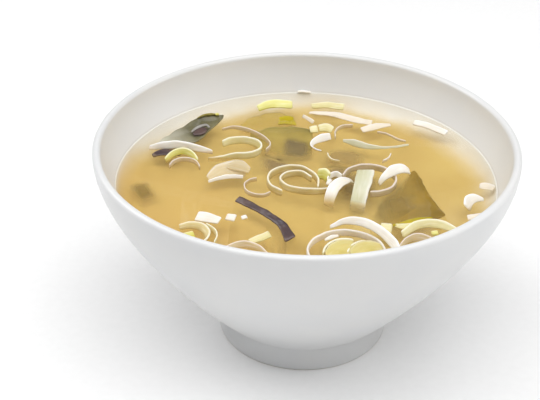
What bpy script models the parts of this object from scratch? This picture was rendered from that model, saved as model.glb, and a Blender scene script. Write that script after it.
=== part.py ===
"""Miso soup in a footed porcelain bowl, with cut leek and wakame leaves at its surface.

Every length below is in millimetres and every angle in degrees; MM turns a length into Blender's
metres. The origin is the middle of the foot's underside. Heights in the tables of garnish are
measured from the soup's level.
"""

import math

import bmesh
import bpy
from mathutils import Vector

MM = 0.001

# The bowl, turned about +Z.
BOWL_RADIUS = 80.0
BOWL_HEIGHT = 83.0
FOOT_RADIUS = 33.8
FOOT_HEIGHT = 10.2
FOOT_FLARE = 0.4  # the foot is this much narrower at its flat underside
FOOT_RING_WIDTH = 4.6
FOOT_ROUNDING = 0.8
RECESS_DEPTH = 7.0
RIM_WALL = 3.2
FLOOR_WALL = 5.2
WALL_LEAN_AT_FOOT = 44.0  # from the horizontal
WALL_LEAN_AT_RIM = 89.0
WALL_HANDLE_AT_FOOT = 13.6
WALL_HANDLE_AT_RIM = 22.5
WALL_STEPS = 8
LIP_STEPS = 4
TURN_STEPS = 52

# What is in it.
SOUP_LEVEL = 67.2
GAP = 0.3  # between every two neighbouring pieces
LEEK_THICKNESS = 1.0
LEEK_FILM = 0.75  # the outermost, papery layers of a leek
WAKAME_THICKNESS = 0.8
STRIP_STATION = 3.0  # between two rows of points along a strip
LEAF_STATION = 5.0  # and along a leaf
LEAF_ROWS = 3  # spaces across a leaf

PORCELAIN = ("porcelain", "E9EAEA", 0.12)
BROTH = ("miso_broth", "C9A45A", 0.2)
LEEK_WHITE = ("leek_white", "EFEAE0", 0.35)
LEEK_CREAM = ("leek_cream", "E3DDB0", 0.35)
LEEK_LIME = ("leek_lime", "D5D46A", 0.35)
WAKAME_GREEN = ("wakame_green", "5B5522", 0.3)
WAKAME_DARK = ("wakame_dark", "3A2F33", 0.3)


def along(values, share):
    """The value at this share of the way through evenly spaced values."""
    if len(values) == 1:
        return values[0]
    at = min(max(share, 0.0), 1.0) * (len(values) - 1)
    low = min(int(at), len(values) - 2)
    return values[low] + (values[low + 1] - values[low]) * (at - low)


def arc(centre, radius, start, sweep, heights, flatten=1.0, points=None):
    """Points (x, y, height) round a ring that is flatten times as deep as it is wide."""
    points = points or max(4, round(abs(sweep) / 30))
    found = []
    for i in range(points + 1):
        share = i / points
        angle = math.radians(start + sweep * share)
        x = centre[0] + radius * math.cos(angle)
        y = centre[1] + radius * flatten * math.sin(angle)
        found.append((x, y, along(heights, share)))
    return found


# Leek, each piece as (name, colour, thickness, width, lean, route). The route is the middle line of
# the strip. A lean of 0 stands the strip on edge, 90 lays it flat with its upper edge to the left.
LEEK = [
    ("leek_arc_left_white", LEEK_WHITE, LEEK_THICKNESS, (2.4, 3.2, 3.4, 3.0, 1.8), 12,
     [(-62.0, 19.9, -0.2), (-57.4, 18.9, 1.4), (-50.6, 18.8, 2.2), (-43.2, 18.3, 1.2), (-36.8, 18.8, -1.0)]),
    ("leek_hoop_left_lime", LEEK_LIME, LEEK_THICKNESS, (2.4, 2.8, 2.4), 20,
     [(-54.8, 11.2, -0.9), (-52.2, 13.6, 0.9), (-48.0, 14.6, 1.7), (-44.4, 13.4, 0.9), (-42.2, 10.8, -0.9)]),
    ("leek_loop_left_thin", LEEK_CREAM, LEEK_FILM, (2.2,), 0,
     arc((-46.7, 3.0), 6.1, 168, -158, (0.1, 0.5, 0.1), 1.2)),
    ("leek_curl_left_cream", LEEK_CREAM, LEEK_THICKNESS, (3.2, 3.4, 3.4, 2.4), 6,
     arc((-25.8, 19.8), 8.0, 158, -262, (1.1, 0.9, 0.6), 0.78) + [(-32.4, 14.0, -0.9), (-38.6, 15.0, -2.2)]),
    ("leek_ring_left_thin", LEEK_CREAM, LEEK_FILM, (1.2, 1.8, 2.2, 3.2), 0,
     [(-34.6, 37.2, -0.5), (-29.8, 37.2, 0.6), (-24.6, 35.2, 0.9), (-19.6, 31.4, 0.8), (-15.6, 26.7, 0.6),
      (-14.2, 22.6, 0.4), (-16.0, 18.6, -0.2)]),
    ("leek_petal_left", LEEK_WHITE, LEEK_FILM, (3.0, 7.0, 7.6, 5.6), 62,
     [(-36.9, -3.6, 0.0), (-32.2, 0.7, 1.0), (-27.2, 2.2, 1.4), (-22.8, 1.7, 0.4)]),
    ("leek_ring_small_thin", LEEK_CREAM, LEEK_FILM, (1.8,), 0,
     arc((-17.2, -8.7), 5.8, 102, 216, (-0.3, 0.1, 0.0), 1.12)),
    ("leek_ring_middle_outer", LEEK_CREAM, LEEK_THICKNESS, (3.2,), 0,
     arc((-4.6, -5.1), 9.7, 246, -262, (0.6, 1.0, 0.9, -0.9))),
    ("leek_ring_middle_inner", LEEK_CREAM, LEEK_THICKNESS, (2.8, 3.0, 3.0, 2.8), 0,
     [(2.4, -3.1, 0.6), (-2.2, 0.6, 0.9), (-7.6, -0.8, 0.9), (-9.6, -5.5, 0.9), (-6.4, -10.5, 0.9),
      (-1.0, -12.4, 0.9), (6.4, -11.9, 0.8), (12.6, -8.9, 0.5), (15.8, -2.9, -0.6)]),
    ("leek_ribbon_middle_white", LEEK_WHITE, LEEK_THICKNESS, (1.6, 3.4, 4.4, 4.6, 4.4), -62,
     [(18.0, -5.2, 0.8), (15.9, -7.3, 3.2), (13.0, -10.9, 4.4), (10.4, -14.8, 3.6), (9.0, -17.3, 0.8),
      (8.8, -17.9, -2.6)]),
    ("leek_slide_middle_green", LEEK_CREAM, LEEK_THICKNESS, (7.0, 6.8, 6.2, 5.4), 84,
     [(22.6, -2.5, 5.0), (21.6, -9.3, 4.2), (20.1, -15.5, 1.5), (18.9, -20.7, -4.6)]),
    ("leek_ring_right", LEEK_CREAM, LEEK_THICKNESS, (2.8,), 0,
     arc((24.0, -3.2), 10.1, 172, -262, (0.9,), 1.02)),
    ("leek_ribbon_right_white", LEEK_WHITE, LEEK_THICKNESS, (1.8, 3.0, 4.2, 4.2, 2.4), 46,
     [(27.6, -5.6, 0.4), (29.4, -3.7, 2.7), (32.4, -1.4, 4.0), (35.6, 0.6, 4.2), (38.0, 1.9, 3.2),
      (39.6, 2.6, 1.7)]),
    ("leek_curl_far_white", LEEK_WHITE, LEEK_FILM, (2.8, 3.4, 2.6, 1.6, 1.2), -40,
     [(9.7, 30.7, 1.1), (6.1, 28.8, 1.3), (3.0, 26.0, 1.0), (2.0, 23.1, 0.5), (3.8, 21.1, 0.2),
      (6.2, 20.8, -0.2)]),
    ("leek_arc_far_thin", LEEK_WHITE, LEEK_FILM, (1.8,), 0,
     arc((19.4, 32.9), 8.2, 196, -102, (0.5, 0.7, 0.1), 1.1)),
    ("leek_strand_far_lime", LEEK_LIME, LEEK_FILM, (1.2, 3.0, 2.4, 1.0, 0.9, 0.9), 24,
     [(14.5, 29.0, 0.2), (18.1, 27.2, 0.5), (21.6, 25.2, 0.5), (25.2, 24.0, 0.3), (29.1, 24.0, 0.1),
      (34.7, 25.0, 0.0), (40.6, 27.2, 0.0)]),
    ("leek_patch_far_pale", LEEK_WHITE, LEEK_FILM, (3.0, 3.6, 1.4), 68,
     [(22.0, 38.2, 0.1), (26.0, 40.2, 0.4), (29.8, 42.0, 0.4), (34.3, 43.4, 0.1)]),
    ("leek_strand_far_thin", LEEK_WHITE, LEEK_FILM, (1.0,), 10,
     [(28.4, 37.0, 0.0), (32.0, 35.2, 0.3), (35.8, 31.7, 0.2), (39.7, 29.6, 0.1)]),
    ("leek_strip_far_white", LEEK_WHITE, LEEK_FILM, (1.2, 2.2, 3.2, 3.2, 2.8), 68,
     [(0.7, 52.6, 0.1), (5.3, 51.8, 0.4), (10.7, 50.8, 0.6), (15.6, 48.5, 0.6), (20.5, 46.1, 0.5),
      (26.6, 44.6, 0.2)]),
    ("leek_strip_far_lime", LEEK_LIME, LEEK_THICKNESS, (3.0, 4.0, 4.2), 78,
     [(1.6, 58.9, 0.1), (8.0, 59.5, 0.3), (15.4, 58.1, 0.3)]),
    ("leek_strip_on_wakame", LEEK_LIME, LEEK_THICKNESS, (3.2, 4.6, 4.0), 64,
     [(-20.9, 54.5, 0.6), (-14.6, 57.4, 1.5), (-6.2, 57.7, 1.0)]),
    ("leek_strip_back_right", LEEK_WHITE, LEEK_THICKNESS, (2.6, 3.0, 3.0), 66,
     [(43.6, 46.1, 0.3), (50.0, 41.9, 0.7), (56.4, 36.5, 0.4)]),
    ("leek_cap_right", LEEK_WHITE, LEEK_THICKNESS, (4.0, 4.8, 3.8, 1.2), 44,
     [(59.4, -19.6, -0.4), (60.3, -16.8, 0.9), (62.6, -15.3, 1.4), (66.0, -15.1, 0.8)]),
    ("leek_strip_right_rim", LEEK_WHITE, LEEK_FILM, (2.4,), 62,
     [(58.8, -27.0, 0.0), (61.8, -26.4, 0.3), (65.4, -25.5, 0.3)]),
    ("leek_ring_front_outer", LEEK_WHITE, LEEK_THICKNESS, (2.8,), 0,
     arc((14.7, -53.9), 13.4, 216, -322, (0.8, 1.0, 0.9, 0.6), 1.0)),
    ("leek_ribbon_front_white", LEEK_WHITE, LEEK_THICKNESS, (1.4, 3.0, 3.4, 3.4, 3.2), 38,
     [(9.0, -39.5, 2.4), (14.6, -38.1, 4.4), (20.6, -40.1, 5.2), (26.4, -45.1, 5.1), (31.0, -51.7, 3.9),
      (33.4, -58.1, 1.0)]),
    ("leek_nest_front_outer", LEEK_CREAM, LEEK_THICKNESS, (3.0,), 0,
     arc((15.2, -54.6), 8.6, 178, -103, (0.0, 0.3, 0.0), 1.12)),
    ("leek_nest_front_inner", LEEK_LIME, LEEK_THICKNESS, (3.0,), 0,
     arc((21.0, -54.6), 6.0, 172, -135, (0.0, 0.2, 0.0), 1.4)),
    ("leek_arch_front_lime", LEEK_LIME, LEEK_THICKNESS, (2.8, 3.4, 3.4, 2.6), 34,
     [(34.6, -39.9, 0.2), (39.2, -35.5, 1.2), (44.6, -34.1, 1.7), (50.2, -34.5, 1.2), (55.0, -37.1, -0.2)]),
    ("leek_arch_front_tan", LEEK_CREAM, LEEK_FILM, (2.4, 3.0, 2.4), 30,
     [(33.4, -48.1, -0.4), (36.2, -43.9, 0.6), (40.4, -42.2, 1.1), (44.4, -43.5, 0.4), (46.6, -47.1, -0.6)]),
    ("leek_tile_front_left", LEEK_WHITE, LEEK_THICKNESS, (5.0, 4.6, 3.8), 76,
     [(-39.2, -30.7, 0.3), (-34.8, -32.1, 0.4), (-30.4, -33.9, 0.3)]),
    ("leek_curl_front_left", LEEK_CREAM, LEEK_THICKNESS, (2.4, 3.0, 3.2, 2.8), 34,
     arc((-40.6, -43.9), 6.6, 128, -168, (0.2, 0.6, 0.2), 1.0)),
    ("leek_curl_front_left_outer", LEEK_LIME, LEEK_FILM, (2.4,), 8,
     arc((-41.2, -45.1), 10.4, 56, -76, (-0.2, 0.3, -0.2), 1.0)),
    ("leek_strip_front", LEEK_CREAM, LEEK_THICKNESS, (2.6, 3.0, 2.8), 66,
     [(-19.2, -47.1, 0.1), (-15.8, -45.1, 0.5), (-12.0, -41.9, 0.5)]),
    ("leek_arc_front_tan", LEEK_CREAM, LEEK_FILM, (2.2, 2.8, 2.2), 30,
     arc((-20.6, -58.1), 8.8, 158, -132, (-0.4, 0.6, -0.4), 1.02)),
]

# Wakame, each leaf as (name, colour, sag, bulge, low edge, high edge): the leaf spans between its two
# edges, sags between them, and its last row bulges.
WAKAME = [
    ("wakame_leaf_left", WAKAME_GREEN, 1.2, 0.0,
     [(-58.8, 20.7, -0.6), (-50.4, 22.8, -0.4), (-43.8, 25.2, 0.1), (-39.4, 33.2, 0.6), (-34.4, 42.6, 1.4)],
     [(-60.6, 21.6, -0.1), (-56.4, 26.4, 1.3), (-49.6, 34.0, 2.4), (-42.6, 41.6, 3.4), (-34.0, 43.8, 2.4)]),
    ("wakame_leaf_far", WAKAME_GREEN, 0.5, 0.0,
     [(-29.0, 42.1, -2.4), (-22.4, 39.3, -2.6), (-13.0, 40.2, -2.6), (-8.0, 41.4, -2.4), (-3.4, 43.2, -2.0)],
     [(-28.3, 44.8, -1.6), (-24.1, 51.4, -1.2), (-18.6, 55.6, -1.1), (-12.0, 56.8, -1.0), (-5.4, 54.8, -1.0)]),
    ("wakame_leaf_back", WAKAME_GREEN, 0.6, 0.0,
     [(-22.0, 29.0, -2.8), (-15.0, 21.0, -3.2), (-7.1, 18.6, -3.4), (-1.4, 18.4, -3.2), (2.4, 20.4, -2.8)],
     [(-23.0, 36.4, -1.1), (-15.6, 39.5, 0.1), (-9.4, 40.9, 0.2), (-3.4, 40.7, 0.2), (2.4, 38.6, 0.0)]),
    ("wakame_leaf_right", WAKAME_GREEN, 0.4, 3.4,
     [(39.9, 7.4, -0.8), (33.2, -2.8, -2.4), (28.6, -12.0, -3.0), (25.4, -21.0, -2.8), (23.4, -28.8, -2.2)],
     [(42.1, 8.5, -0.2), (44.8, -2.6, 0.1), (46.4, -10.4, 0.1), (48.8, -17.6, 0.1), (51.6, -25.3, 0.2)]),
]

# One narrow wakame strip, in the form of the leek pieces.
WAKAME_STRIP = ("wakame_strip_front", WAKAME_DARK, WAKAME_THICKNESS, (3.0, 2.7, 2.8, 4.4), 66,
                [(-25.2, -18.3, 0.4), (-20.6, -22.1, 0.5), (-14.2, -28.1, 0.5), (-8.2, -35.4, 0.5),
                 (-4.8, -45.1, 0.4)])


def smooth_routes(routes, spacing):
    """Catmull-Rom curves through the points of routes, read side by side about every spacing."""
    curves = []
    for route in routes:
        knots = [Vector(point) for point in route]
        curves.append([2 * knots[0] - knots[1]] + knots + [2 * knots[-1] - knots[-2]])
    found = [[] for _ in routes]
    for span in range(1, len(curves[0]) - 2):
        longest = max((knots[span + 1] - knots[span]).length for knots in curves)
        steps = max(1, round(longest / spacing))
        for line, knots in zip(found, curves):
            a, b, c, d = knots[span - 1:span + 3]
            for i in range(steps):
                t = i / steps
                line.append(
                    0.5 * (2 * b + (c - a) * t + (2 * a - 5 * b + 4 * c - d) * t**2
                           + (3 * b - a - 3 * c + d) * t**3)
                )
    for line, knots in zip(found, curves):
        line.append(knots[-2])
    return found


def lengthened(line, grow):
    """The line, carried straight on by this much at both ends."""
    first = line[0] + (line[0] - line[1]).normalized() * grow
    last = line[-1] + (line[-1] - line[-2]).normalized() * grow
    return [first] + line[1:-1] + [last]


def strip_edges(route, widths, lean, grow):
    """The two edges of a strip: its middle line moved half its width each way."""
    middle = lengthened(smooth_routes([route], STRIP_STATION)[0], grow)
    tilt = math.radians(lean)
    low, high = [], []
    last = len(middle) - 1
    for at, place in enumerate(middle):
        ahead = middle[min(at + 1, last)] - middle[max(at - 1, 0)]
        left = Vector((-ahead.y, ahead.x, 0.0)).normalized()
        reach = math.cos(tilt) * Vector((0.0, 0.0, 1.0)) + math.sin(tilt) * left
        half_width = along(widths, at / last) / 2 + grow
        low.append(place - reach * half_width)
        high.append(place + reach * half_width)
    return low, high


def leaf_edges(low_route, high_route, grow):
    """The two edges of a leaf, moved apart by this much."""
    lines = smooth_routes([low_route, high_route], LEAF_STATION)
    low, high = (lengthened(line, grow) for line in lines)
    apart = [(b - a).normalized() * grow for a, b in zip(low, high)]
    low = [place - move for place, move in zip(low, apart)]
    high = [place + move for place, move in zip(high, apart)]
    return low, high


def new_object(name, mesh, collection, finish=None):
    placed = bpy.data.objects.new(name, mesh)
    collection.objects.link(placed)
    if finish:
        mesh.materials.append(finish)
    else:
        placed.hide_render = True
        placed.display_type = "WIRE"
    return placed


def principled(look):
    """A Principled material of one colour, an sRGB hex value."""
    name, colour, roughness = look
    made = bpy.data.materials.get(name)
    if made is None:
        made = bpy.data.materials.new(name)
        made.use_nodes = True
        shader = made.node_tree.nodes["Principled BSDF"]
        channels = [int(colour[i:i + 2], 16) / 255 for i in (0, 2, 4)]
        linear = [c / 12.92 if c <= 0.04045 else ((c + 0.055) / 1.055) ** 2.4 for c in channels]
        shader.inputs["Base Color"].default_value = (*linear, 1.0)
        shader.inputs["Roughness"].default_value = roughness
        shader.inputs["Metallic"].default_value = 0.0
    return made


def sheet(name, edges, thickness, rows, sag, bulge, collection, look=None):
    """A thin piece between two edges; it sags between them and its last row of points bulges."""
    low, high = edges
    last = len(low) - 1
    body = bmesh.new()
    bmesh.ops.create_grid(body, x_segments=last, y_segments=rows, size=0.5)
    for vertex in body.verts:
        share = vertex.co.x + 0.5
        across = 2 * vertex.co.y
        at = round(share * last)
        ahead = (high[min(at + 1, last)] + low[min(at + 1, last)]
                 - high[max(at - 1, 0)] - low[max(at - 1, 0)]).normalized()
        face = ahead.cross(high[at] - low[at]).normalized()
        middle = 1 - across**2
        place = low[at].lerp(high[at], (across + 1) / 2)
        place -= face * (sag * middle * math.sin(math.pi * share))
        place += ahead * (bulge * middle * share**2)
        vertex.co = (place + Vector((0.0, 0.0, SOUP_LEVEL))) * MM
    mesh = bpy.data.meshes.new(name)
    body.to_mesh(mesh)
    body.free()
    mesh.shade_smooth()

    placed = new_object(name, mesh, collection, look and principled(look))
    wall = placed.modifiers.new("Thickness", "SOLIDIFY")
    wall.thickness = thickness * MM
    wall.offset = 0.0
    wall.use_even_offset = True


def outer_wall(t):
    """Place and direction at t, from 0 at the foot to 1 at the rim, on the bowl's outer side."""
    foot = Vector((FOOT_RADIUS, FOOT_HEIGHT))
    rim = Vector((BOWL_RADIUS, BOWL_HEIGHT - RIM_WALL / 2))
    lean_foot = math.radians(WALL_LEAN_AT_FOOT)
    lean_rim = math.radians(WALL_LEAN_AT_RIM)
    a = foot
    b = foot + WALL_HANDLE_AT_FOOT * Vector((math.cos(lean_foot), math.sin(lean_foot)))
    c = rim - WALL_HANDLE_AT_RIM * Vector((math.cos(lean_rim), math.sin(lean_rim)))
    d = rim
    place = (1 - t)**3 * a + 3 * (1 - t)**2 * t * b + 3 * (1 - t) * t**2 * c + t**3 * d
    ahead = 3 * (1 - t)**2 * (b - a) + 6 * (1 - t) * t * (c - b) + 3 * t**2 * (d - c)
    return place, ahead.normalized()


def inner_wall(t, clear=0.0):
    """The place on the inner side opposite outer_wall(t), or that far clear of it."""
    place, ahead = outer_wall(t)
    wall = FLOOR_WALL + (RIM_WALL - FLOOR_WALL) * t + clear
    return place + wall * Vector((-ahead.y, ahead.x))


def inner_floor(clear=0.0):
    """Points from the axis out to the foot of the inner wall."""
    edge = inner_wall(0.0, clear)
    slope = outer_wall(0.0)[1]
    middle = RECESS_DEPTH + FLOOR_WALL + clear
    a, b, c, d = Vector((0.0, middle)), Vector((edge.x * 0.55, middle)), edge - 2.6 * slope, edge
    steps = 4
    found = []
    for i in range(steps):
        t = i / steps
        found.append((1 - t)**3 * a + 3 * (1 - t)**2 * t * b + 3 * (1 - t) * t**2 * c + t**3 * d)
    return found


def wall_at_level(height, clear):
    """The t at which the inner wall, that far cleared, passes this height."""
    low, high = 0.0, 1.0
    for _ in range(40):
        t = (low + high) / 2
        if inner_wall(t, clear).y < height:
            low = t
        else:
            high = t
    return low


def bowl_profile():
    """Up the inside, over the round lip, down the outside and round the foot to the axis."""
    inside = inner_floor() + [inner_wall(i / WALL_STEPS) for i in range(WALL_STEPS + 1)]
    outside = [outer_wall(1 - i / WALL_STEPS)[0] for i in range(WALL_STEPS + 1)]
    lip_middle = (inside[-1] + outside[0]) / 2
    lip = []
    for i in range(1, LIP_STEPS):
        angle = math.pi * (1 - i / LIP_STEPS)
        lip.append(lip_middle + RIM_WALL / 2 * Vector((math.cos(angle), math.sin(angle))))
    foot_radius = FOOT_RADIUS - FOOT_FLARE
    ring_radius = foot_radius - FOOT_RING_WIDTH
    foot = [
        Vector((foot_radius, FOOT_ROUNDING)),
        Vector((foot_radius - FOOT_ROUNDING, 0.0)),
        Vector((ring_radius + FOOT_ROUNDING, 0.0)),
        Vector((ring_radius, FOOT_ROUNDING)),
        Vector((ring_radius - 0.6, RECESS_DEPTH - 1.8)),
        Vector((ring_radius - 2.4, RECESS_DEPTH)),
        Vector((0.0, RECESS_DEPTH)),
    ]
    return inside + lip + outside + foot


def soup_profile():
    """Out along the level from the axis, and down the inside of the bowl."""
    edge = wall_at_level(SOUP_LEVEL, GAP)
    steps = [i / WALL_STEPS for i in range(WALL_STEPS + 1) if i / WALL_STEPS < edge - 0.02]
    wall = [inner_wall(t, GAP) for t in steps + [edge]]
    return [Vector((0.0, SOUP_LEVEL))] + wall[::-1] + inner_floor(GAP)[::-1]


def turned(name, profile, look, collection):
    """A profile in the XZ plane, swept once round the axis."""
    body = bmesh.new()
    corners = [body.verts.new((point.x * MM, 0.0, point.y * MM)) for point in profile]
    for first, second in zip(corners, corners[1:]):
        body.edges.new((first, second))
    mesh = bpy.data.meshes.new(name)
    body.to_mesh(mesh)
    body.free()
    placed = new_object(name, mesh, collection, principled(look))
    screw = placed.modifiers.new("Turned", "SCREW")
    screw.steps = TURN_STEPS
    screw.render_steps = TURN_STEPS
    screw.use_merge_vertices = True
    screw.merge_threshold = GAP * MM / 100
    screw.use_smooth_shade = True
    return placed


def build():
    for old in list(bpy.data.objects):
        bpy.data.objects.remove(old, do_unlink=True)
    parts = bpy.data.collections.new("miso_soup")
    cutters = bpy.data.collections.new("cutters")
    bpy.context.scene.collection.children.link(parts)
    bpy.context.scene.collection.children.link(cutters)

    turned("bowl", bowl_profile(), PORCELAIN, parts)
    soup = turned("soup", soup_profile(), BROTH, parts)
    for name, look, thickness, widths, lean, route in LEEK + [WAKAME_STRIP]:
        sheet(name, strip_edges(route, widths, lean, 0.0), thickness, 1, 0.0, 0.0, parts, look)
        room = strip_edges(route, widths, lean, GAP)
        sheet(f"{name}_room", room, thickness + 2 * GAP, 1, 0.0, 0.0, cutters)
    for name, look, sag, bulge, low, high in WAKAME:
        edges = leaf_edges(low, high, 0.0)
        sheet(name, edges, WAKAME_THICKNESS, LEAF_ROWS, sag, bulge, parts, look)
        room = leaf_edges(low, high, GAP)
        sheet(f"{name}_room", room, WAKAME_THICKNESS + 2 * GAP, LEAF_ROWS, sag, bulge, cutters)

    cut = soup.modifiers.new("Room for the garnish", "BOOLEAN")
    cut.operation = "DIFFERENCE"
    cut.solver = "EXACT"
    cut.operand_type = "COLLECTION"
    cut.collection = cutters


build()
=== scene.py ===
"""The looks of a footed porcelain bowl of miso soup with cut leek and wakame.

Lengths are in millimetres and angles in degrees; MM turns a length into Blender's metres. Heights in
the tables of garnish are measured from the soup's level, as in the part's own source, whose tables
are repeated here. The broth is cloudy, so it is made as a thin clear film at its level over a
submerged surface, and whatever is sunk takes on the broth's colour with depth.
"""

import math

import bmesh
import bpy
from mathutils import Matrix, Vector, noise


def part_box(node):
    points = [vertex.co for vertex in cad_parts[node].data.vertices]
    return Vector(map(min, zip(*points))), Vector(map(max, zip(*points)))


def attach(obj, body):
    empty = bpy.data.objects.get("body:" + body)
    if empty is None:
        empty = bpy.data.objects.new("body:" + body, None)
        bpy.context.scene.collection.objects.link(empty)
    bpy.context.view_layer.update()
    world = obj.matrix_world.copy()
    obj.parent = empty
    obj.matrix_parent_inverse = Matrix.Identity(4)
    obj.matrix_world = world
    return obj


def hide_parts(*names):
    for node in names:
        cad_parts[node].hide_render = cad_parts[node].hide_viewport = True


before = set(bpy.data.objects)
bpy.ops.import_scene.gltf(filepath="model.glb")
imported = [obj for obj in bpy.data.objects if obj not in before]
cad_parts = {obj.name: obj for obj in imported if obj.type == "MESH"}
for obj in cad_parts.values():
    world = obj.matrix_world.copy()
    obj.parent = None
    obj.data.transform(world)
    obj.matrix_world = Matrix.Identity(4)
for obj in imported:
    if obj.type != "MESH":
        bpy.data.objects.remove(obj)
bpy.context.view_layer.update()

MM = 0.001
ORIGIN = (0.0, 0.0, 0.0)
UPWARDS = (0.0, 0.0, 1.0)

# The bowl and the broth, with the bowl's outline as in the part's source.
BOWL_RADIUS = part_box("bowl")[1].x / MM
BOWL_HEIGHT = 83.0
FOOT_RADIUS = 33.8
FOOT_HEIGHT = 10.2
FOOT_FLARE = 0.4
FOOT_RING_WIDTH = 4.6
FOOT_ROUNDING = 0.8
RECESS_DEPTH = 7.0
RIM_WALL = 3.2
FLOOR_WALL = 5.2
WALL_LEAN_AT_FOOT = 44.0
WALL_LEAN_AT_RIM = 89.0
WALL_HANDLE_AT_FOOT = 13.6
WALL_HANDLE_AT_RIM = 22.5
WALL_STEPS = 28
FLOOR_STEPS = 8
LIP_STEPS = 10
TURN_STEPS = 160

SOUP_LEVEL = 67.2
FILM_DEPTH = 0.5  # of the clear film that carries the broth's gloss
MENISCUS_HEIGHT = 0.4
MENISCUS_REACH = 1.6
INTO_WALL = 0.3  # how far the broth's pieces reach into the porcelain
SKIN = 0.2  # the submerged surface lies this far off the wall
MURK_FLOOR = 5.0  # depth at which hardly anything shows through the broth any more
MURK_FILLET = 4.0
WALL_MURK = 1.6  # depth over which the porcelain fades from sight
PIECE_MURK = 1.8  # and over which a floating cutting does
LEAF_MURK = 4.5  # a dark leaf stays in sight deeper down
SHINE_LOST = 0.15  # share of the murk at which a sunk piece has lost its shine
DULLED = 0.3  # at which its surface has gone dull
FADES_FROM = 0.3  # from which the piece itself fades from sight
FADES_TO = 0.85
# Painted light: towards the wall the broth pales because it is shallow, and also because light bounced off
# the white porcelain is painted into its colour.
SHORE_START = 58.0  # the broth pales from this far out to the wall, where it is shallow
SHORE_STRAW = 75.0
MILKY_AND_BOUNCE_LIGHT_START = 64.5
MILKY_AND_BOUNCE_LIGHT_END = 74.0
SHORE_WANDER = 5.0  # the pale shore's edge wanders this far in and out
STRAW_BROTH_AND_BOUNCE_LIGHT = "E2D9BE"
SHALLOW_BROTH_AND_BOUNCE_LIGHT = "E6E8E6"

LEEK_THICKNESS = 0.8
LEEK_FILM = 0.5
WAKAME_THICKNESS = 0.8
SOAKED_TO = 2.5  # a leek ribbon is whitest from this high above the level
LEAF_SUNK = 0.6  # the limp leaves have settled this far below where their solids touch the level
STATION = 1.1  # between two rows of points along a strip
LEAF_STATION = 1.6
STRIP_ROWS = 4
LEAF_ROWS = 10
STRIP_WRINKLE = 0.25
LEAF_WRINKLE = 0.5
WRINKLES_PER_MM = 0.35
WRINKLE_SEED = 7

# The studio, in metres and watts: each lamp as (name, place, size, power).
FLOOR_REACH = 3.0
SKY_STRENGTH = 0.25
LAMPS = [
    ("overhead", (0.05, -0.24, 0.96), 1.2, 10.6),
    ("right", (1.2, 0.1, 0.6), 0.8, 4.8),
    ("left", (-1.0, 0.4, 0.9), 0.8, 6.8),
]
LAMPS_AIM = (0.0, 0.0, 0.06)
CAMERA_DISTANCE = 0.4877  # from the middle of the bowl's mouth
CAMERA_ELEVATION = 28.5
CAMERA_TURNS = ((1.547, "Y"), (-2.682, "X"), (1.37, "Z"))  # off the line to the mouth's middle
FOCAL_LENGTH = 86.67
SENSOR_WIDTH = 36.0


def arc(centre, radius, start, sweep, heights, flatten=1.0):
    """Points (x, y, height) round a ring that is flatten times as deep as it is wide."""
    points = max(4, round(abs(sweep) / 30))
    found = []
    for i in range(points + 1):
        share = i / points
        angle = math.radians(start + sweep * share)
        x = centre[0] + radius * math.cos(angle)
        y = centre[1] + radius * flatten * math.sin(angle)
        found.append((x, y, along(heights, share)))
    return found


def along(values, share):
    """The value at this share of the way through evenly spaced values."""
    if len(values) == 1:
        return values[0]
    at = min(max(share, 0.0), 1.0) * (len(values) - 1)
    low = min(int(at), len(values) - 2)
    return values[low] + (values[low + 1] - values[low]) * (at - low)


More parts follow.
